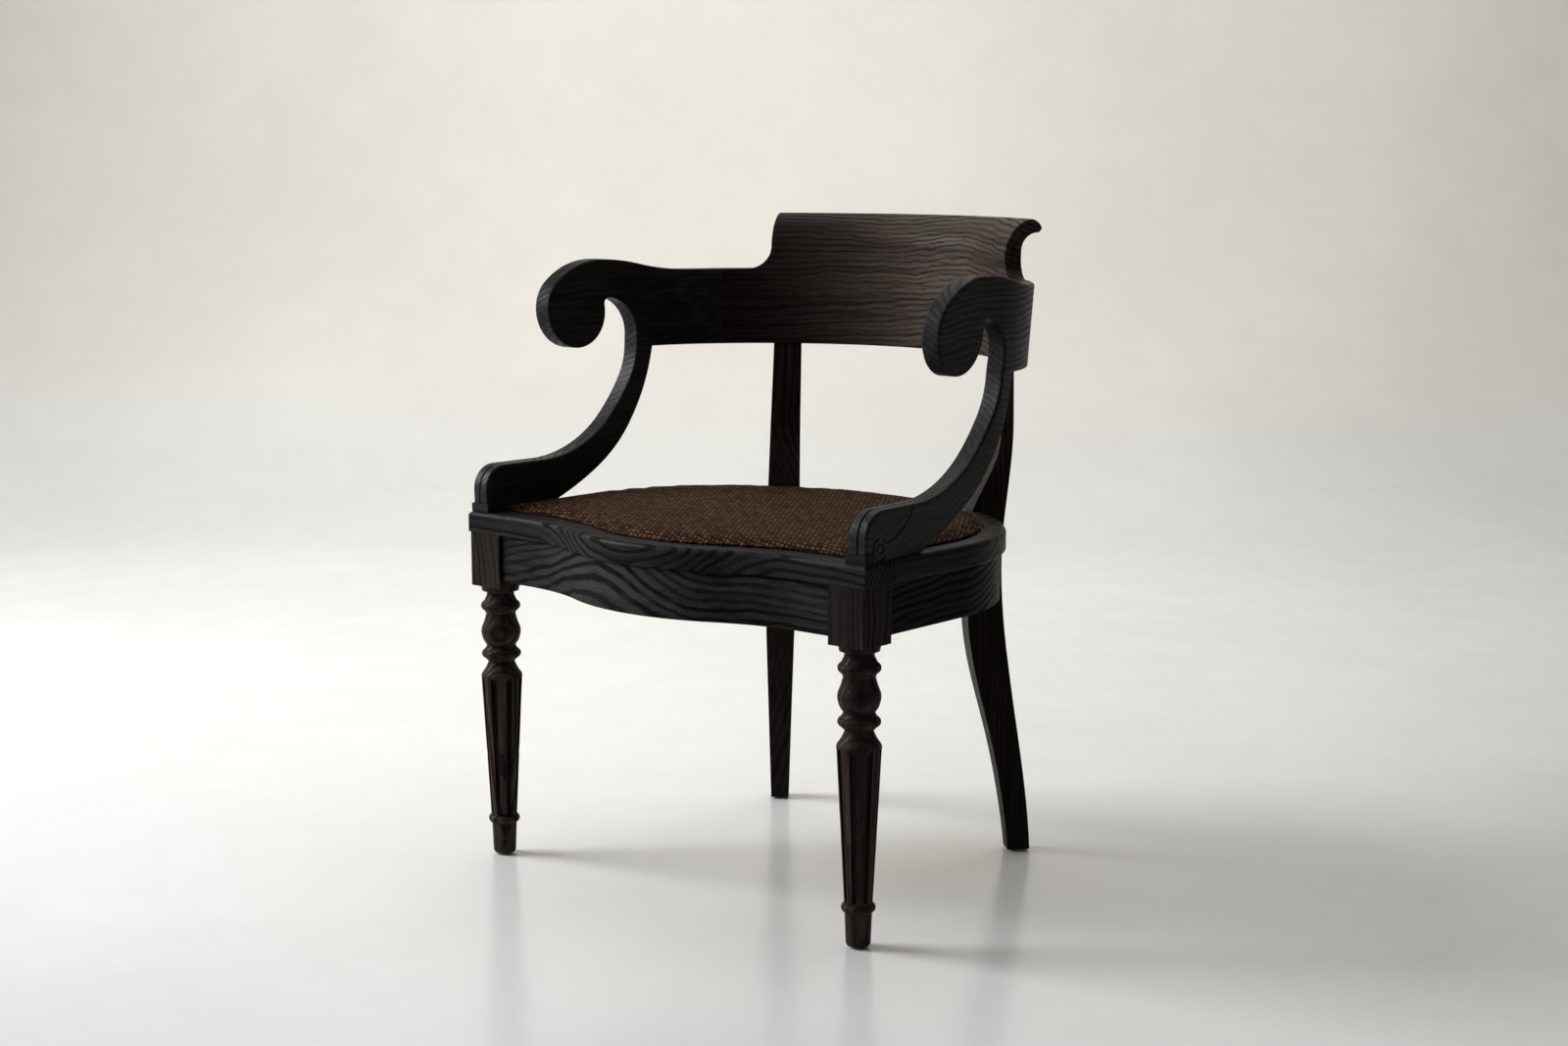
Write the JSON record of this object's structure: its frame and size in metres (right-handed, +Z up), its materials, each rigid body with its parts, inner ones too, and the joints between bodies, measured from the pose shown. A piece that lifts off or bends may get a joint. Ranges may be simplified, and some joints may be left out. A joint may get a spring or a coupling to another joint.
{
  "type": "klismos armchair",
  "caption": "Dark oak klismos armchair with scrolled arms, curved rolled crest, bowed seat with woven pad, turned fluted front legs and sabre rear legs",
  "frame": {"origin": "centre of the chair's bounding box on the floor", "axes": "+X to the viewer's right when facing the front, front faces -Y, +Z up"},
  "size_m": [0.6694, 0.6227, 0.835],
  "materials": {
    "dark_oak": "satin, open grain",
    "plain_beech": "unfinished",
    "plywood": "unfinished",
    "woven_fabric": "coarse twisted yarn weave",
    "glide_nylon": "matt",
    "steel_screw": "plain zinc"
  },
  "bodies": {
    "root": {"arm_joint_dowels": "plain_beech", "arm_left": "dark_oak", "arm_plinth_left": "dark_oak", "arm_plinth_right": "dark_oak", "arm_right": "dark_oak", "arm_support_dowels": "plain_beech", "arm_support_left": "dark_oak", "arm_support_right": "dark_oak", "back_board": "dark_oak", "back_rail": "dark_oak", "corner_block_left": "plain_beech", "corner_block_right": "plain_beech", "corner_block_screws": "steel_screw", "front_glide_left": "glide_nylon", "front_glide_right": "glide_nylon", "front_leg_left": "dark_oak", "front_leg_right": "dark_oak", "front_rail": "dark_oak", "rear_glide_left": "glide_nylon", "rear_glide_right": "glide_nylon", "rear_leg_left": "dark_oak", "rear_leg_right": "dark_oak", "rear_leg_screws": "steel_screw", "seat_board": "plywood", "seat_frame_back": "dark_oak", "seat_frame_dowels": "plain_beech", "seat_frame_front": "dark_oak", "seat_frame_screws": "steel_screw", "seat_frame_side_left": "dark_oak", "seat_frame_side_right": "dark_oak", "seat_pad": "woven_fabric", "side_rail_left": "dark_oak", "side_rail_right": "dark_oak", "splice_block_left": "plain_beech", "splice_block_right": "plain_beech"}
  },
  "joints": []
}
